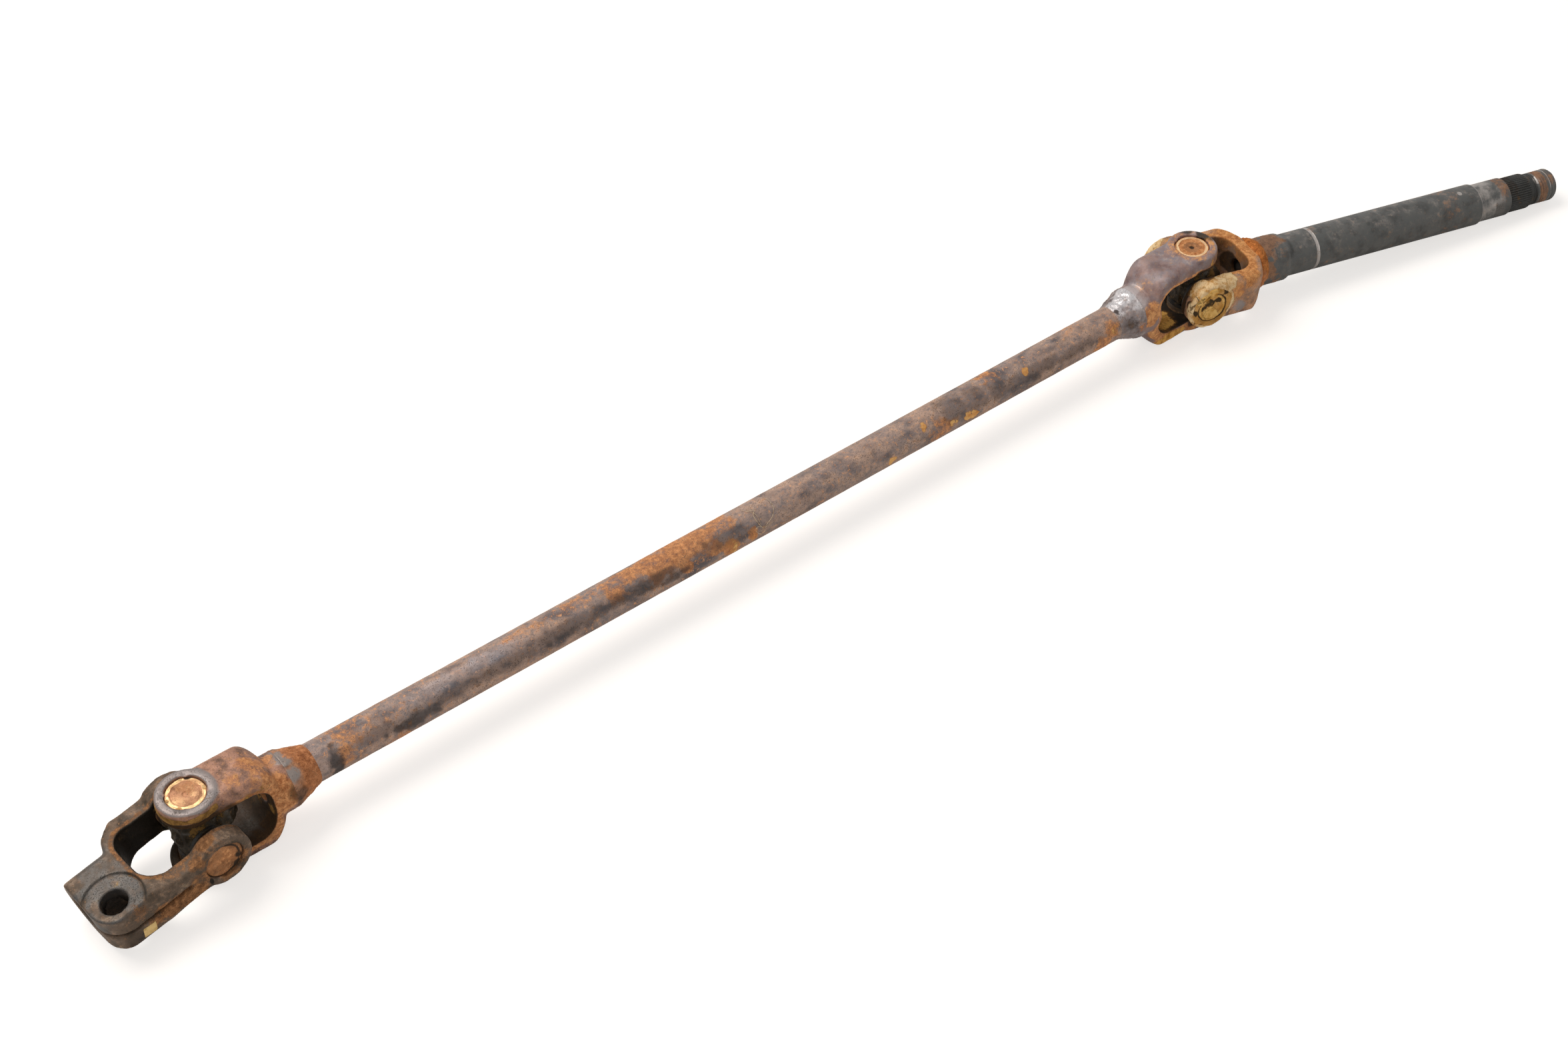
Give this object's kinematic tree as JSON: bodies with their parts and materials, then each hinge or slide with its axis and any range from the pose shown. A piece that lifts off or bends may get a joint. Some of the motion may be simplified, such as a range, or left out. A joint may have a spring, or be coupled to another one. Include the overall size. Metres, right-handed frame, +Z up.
{
  "type": "steering stem shaft",
  "caption": "Rusty steering stem shaft: a round rod with a universal joint at each end, a split clamp yoke below and a splined, threaded shaft above.",
  "frame": {"origin": "on the ground under the middle of the bounding box, the shaft lying at rest", "axes": "+X along the rod from the lower (clamp) joint to the upper joint, +Z up"},
  "size_m": [0.7702, 0.0756, 0.0416],
  "materials": {
    "rod_steel": "rust-brown bar, matt",
    "rusty_forging": "rusted forging, matt",
    "dark_forging": "dark rusted forging, satin",
    "clamp_forging": "black forging with dust",
    "shaft_forging": "orange rusted forging",
    "weld_metal": "grey weld with rust",
    "cup_steel": "rusted bearing cup",
    "cross_steel": "dirty forged steel",
    "needle_steel": "ground bearing steel",
    "seal_rubber": "black rubber",
    "black_shaft": "black oxide turned shaft, satin"
  },
  "bodies": {
    "rod": {"rod": "rod_steel", "lower_rod_yoke": "rusty_forging", "upper_rod_yoke": "dark_forging", "lower_weld_bead": "weld_metal", "upper_weld_bead": "weld_metal", "lower_top_cup": "cup_steel", "lower_bottom_cup": "cup_steel", "lower_top_needles": "needle_steel", "lower_bottom_needles": "needle_steel", "upper_top_cup": "cup_steel", "upper_bottom_cup": "cup_steel", "upper_top_needles": "needle_steel", "upper_bottom_needles": "needle_steel"},
    "lower_cross": {"lower_cross": "cross_steel", "lower_top_seal": "seal_rubber", "lower_bottom_seal": "seal_rubber", "lower_near_seal": "seal_rubber", "lower_far_seal": "seal_rubber"},
    "clamp_yoke": {"clamp_yoke": "clamp_forging", "lower_near_cup": "cup_steel", "lower_far_cup": "cup_steel", "lower_near_needles": "needle_steel", "lower_far_needles": "needle_steel"},
    "upper_cross": {"upper_cross": "cross_steel", "upper_top_seal": "seal_rubber", "upper_bottom_seal": "seal_rubber", "upper_near_seal": "seal_rubber", "upper_far_seal": "seal_rubber"},
    "upper_shaft": {"upper_shaft": "black_shaft", "shaft_yoke": "shaft_forging", "shaft_weld_bead": "weld_metal", "upper_near_cup": "cup_steel", "upper_far_cup": "cup_steel", "upper_near_needles": "needle_steel", "upper_far_needles": "needle_steel"}
  },
  "joints": [
    {"name": "lower_rod_pivot", "type": "hinge", "parent": "rod", "child": "lower_cross", "pos_m": [-0.33466, 0.01507, 0.0208], "axis": [0, 0, 1], "range_deg": [-34.15, 25.85]},
    {"name": "lower_clamp_pivot", "type": "hinge", "parent": "lower_cross", "child": "clamp_yoke", "pos_m": [-0.33466, 0.01507, 0.0208], "axis": [-0.0724, 0.9974, 0], "range_deg": [-20.39, 39.61]},
    {"name": "upper_rod_pivot", "type": "hinge", "parent": "rod", "child": "upper_cross", "pos_m": [0.17834, 0.01507, 0.0208], "axis": [0, 0, 1], "range_deg": [-17.5, 42.5]},
    {"name": "upper_shaft_pivot", "type": "hinge", "parent": "upper_cross", "child": "upper_shaft", "pos_m": [0.17834, 0.01507, 0.0208], "axis": [0.2164, 0.9763, 0], "range_deg": [-33.56, 26.44]}
  ]
}
